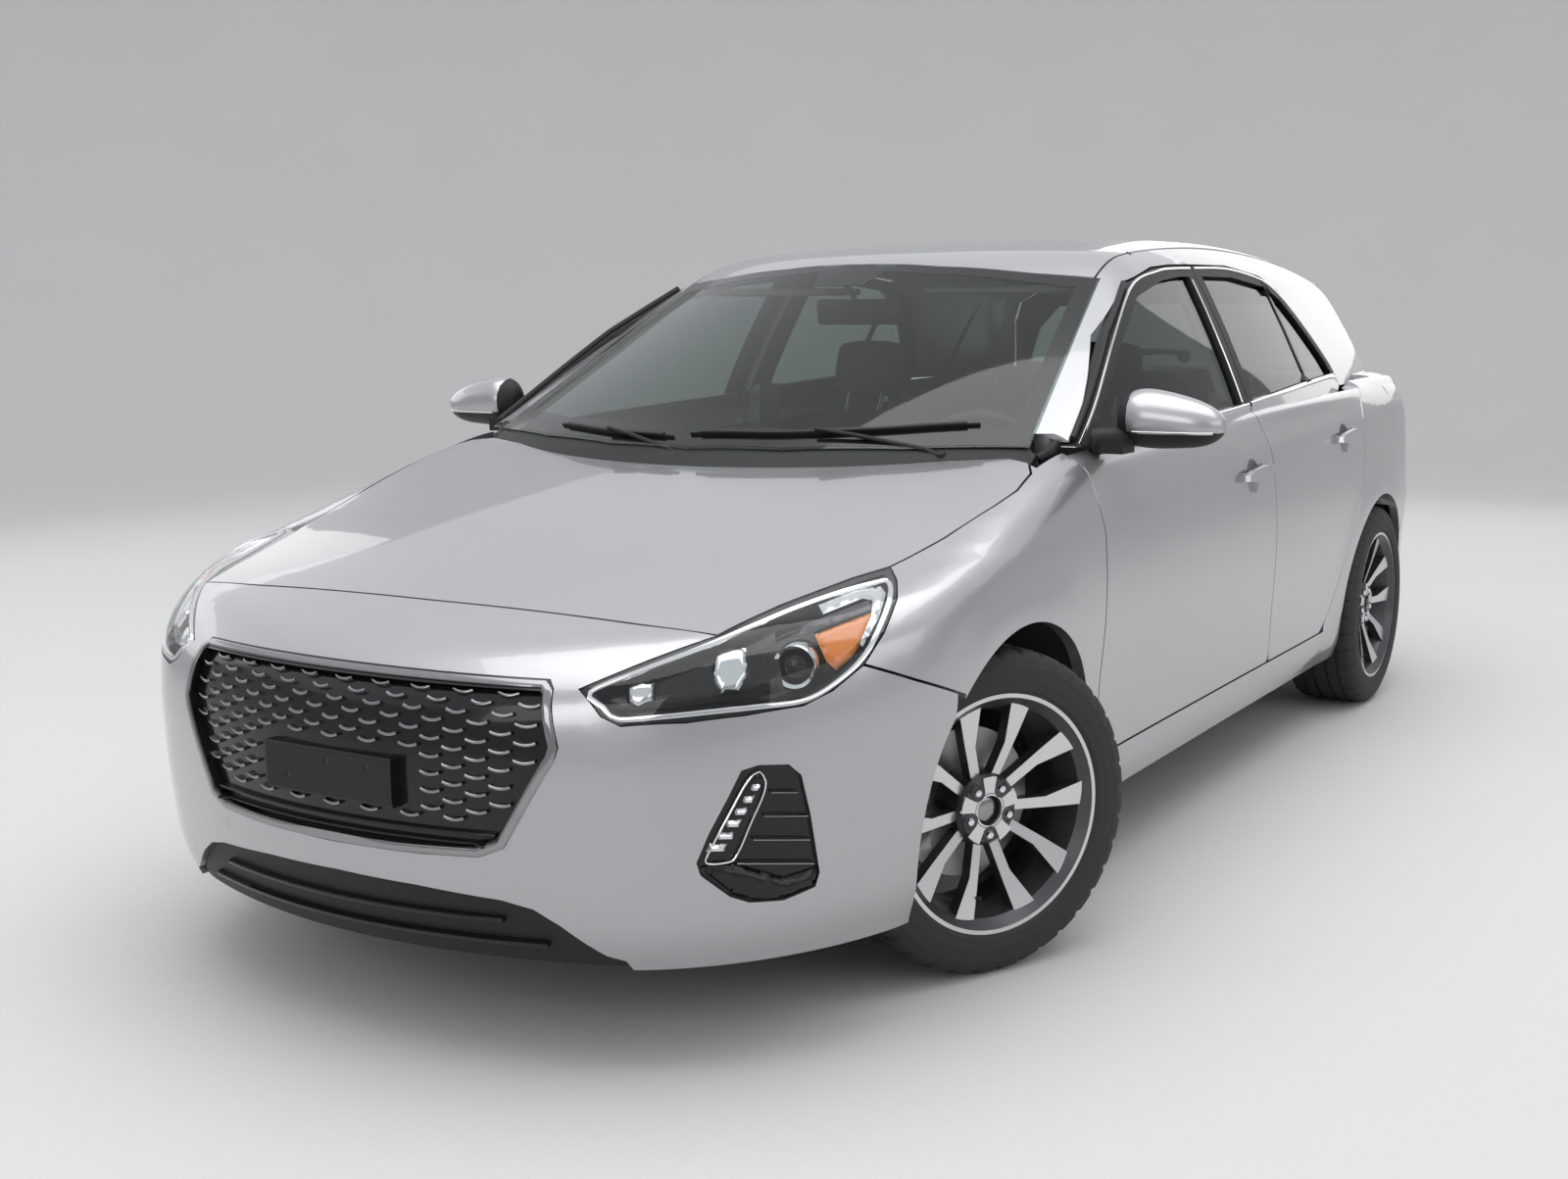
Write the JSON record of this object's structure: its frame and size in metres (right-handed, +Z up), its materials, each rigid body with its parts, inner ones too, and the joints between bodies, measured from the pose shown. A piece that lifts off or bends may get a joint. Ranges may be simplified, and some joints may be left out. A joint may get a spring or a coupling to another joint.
{
  "type": "hatchback car",
  "caption": "Compact five-door hatchback car with hinged doors, hood and tailgate, steered front wheels and a hollow cabin.",
  "frame": {"origin": "centre of the car's bounding box on the ground", "axes": "+X forwards, +Y to the car's left, +Z up"},
  "size_m": [4.3407, 2.148, 1.4654],
  "materials": {
    "paint": "metallic gloss",
    "glass": "clear",
    "underbody": "satin",
    "black_plastic": "gloss",
    "red_lens": "gloss",
    "trim": "grained",
    "cloth": "woven",
    "alloy": "machined",
    "tyre": "matte",
    "steel": "dull"
  },
  "bodies": {
    "body": {"floor_pan": "underbody", "body_side_left": "paint", "body_side_right": "paint", "roof_panel": "paint", "fender_left": "paint", "fender_right": "paint", "front_bumper": "paint", "rear_bumper": "paint", "grille": "black_plastic", "lower_intake": "black_plastic", "fog_lamps": "black_plastic", "windscreen": "glass", "headlamps": "black_plastic", "headlamp_lenses": "glass", "tail_lamps": "red_lens", "cowl_panel": "black_plastic", "dashboard": "trim", "steering_wheel": "trim", "front_seats": "cloth", "rear_seat": "cloth", "engine_block": "underbody", "front_subframe": "underbody", "rear_axle": "underbody", "exhaust": "steel"},
    "front_left_door": {"door_front_left": "paint", "glass_front_left": "glass", "mirror_left": "paint"},
    "front_right_door": {"door_front_right": "paint", "glass_front_right": "glass", "mirror_right": "paint"},
    "rear_left_door": {"door_rear_left": "paint", "glass_rear_left": "glass"},
    "rear_right_door": {"door_rear_right": "paint", "glass_rear_right": "glass"},
    "hood_lid": {"hood": "paint"},
    "tailgate_lid": {"tailgate": "paint", "tailgate_glass": "glass", "tailgate_lamps": "red_lens"},
    "left_knuckle": {"knuckle_left": "underbody"},
    "right_knuckle": {"knuckle_right": "underbody"},
    "front_left_wheel": {"wheel_front_left": "alloy", "tyre_front_left": "tyre"},
    "front_right_wheel": {"wheel_front_right": "alloy", "tyre_front_right": "tyre"},
    "rear_left_wheel": {"wheel_rear_left": "alloy", "tyre_rear_left": "tyre"},
    "rear_right_wheel": {"wheel_rear_right": "alloy", "tyre_rear_right": "tyre"}
  },
  "joints": [
    {"name": "steer_left", "type": "hinge", "parent": "body", "child": "left_knuckle", "pos_m": [1.265, 0.7365, 0.317], "axis": [0, 0, 1], "range_deg": [-5, 60]},
    {"name": "steer_right", "type": "hinge", "parent": "body", "child": "right_knuckle", "pos_m": [1.265, -0.7365, 0.317], "axis": [0, 0, 1], "range_deg": [-5, 60]},
    {"name": "front_left_wheel_spin", "type": "hinge", "parent": "left_knuckle", "child": "front_left_wheel", "pos_m": [1.28543, 0.7766, 0.317], "axis": [0.454, 0.891, 0], "continuous": true},
    {"name": "front_right_wheel_spin", "type": "hinge", "parent": "right_knuckle", "child": "front_right_wheel", "pos_m": [1.2425, -0.77547, 0.317], "axis": [0.5, 0.866, 0], "continuous": true},
    {"name": "rear_left_wheel_spin", "type": "hinge", "parent": "body", "child": "rear_left_wheel", "pos_m": [-1.385, 0.7815, 0.317], "axis": [0, 1, 0], "continuous": true},
    {"name": "rear_right_wheel_spin", "type": "hinge", "parent": "body", "child": "rear_right_wheel", "pos_m": [-1.385, -0.7815, 0.317], "axis": [0, 1, 0], "continuous": true},
    {"name": "front_left_door_hinge", "type": "hinge", "parent": "body", "child": "front_left_door", "pos_m": [0.876, 0.893, 0.6], "axis": [0, 0, -1], "range_deg": [0, 66]},
    {"name": "front_right_door_hinge", "type": "hinge", "parent": "body", "child": "front_right_door", "pos_m": [0.876, -0.893, 0.6], "axis": [0, 0, 1], "range_deg": [0, 66]},
    {"name": "rear_left_door_hinge", "type": "hinge", "parent": "body", "child": "rear_left_door", "pos_m": [-0.238, 0.895, 0.6], "axis": [0, 0, -1], "range_deg": [0, 68]},
    {"name": "rear_right_door_hinge", "type": "hinge", "parent": "body", "child": "rear_right_door", "pos_m": [-0.238, -0.895, 0.6], "axis": [0, 0, 1], "range_deg": [0, 68]},
    {"name": "hood_hinge", "type": "hinge", "parent": "body", "child": "hood_lid", "pos_m": [0.918, 0, 0.972], "axis": [0, -1, 0], "range_deg": [0, 50]},
    {"name": "tailgate_hinge", "type": "hinge", "parent": "body", "child": "tailgate_lid", "pos_m": [-1.786, 0, 1.381], "axis": [0, 1, 0], "range_deg": [0, 78]}
  ],
  "couplings": [
    {"joint": "steer_right", "follows": "steer_left", "ratio": 1}
  ]
}
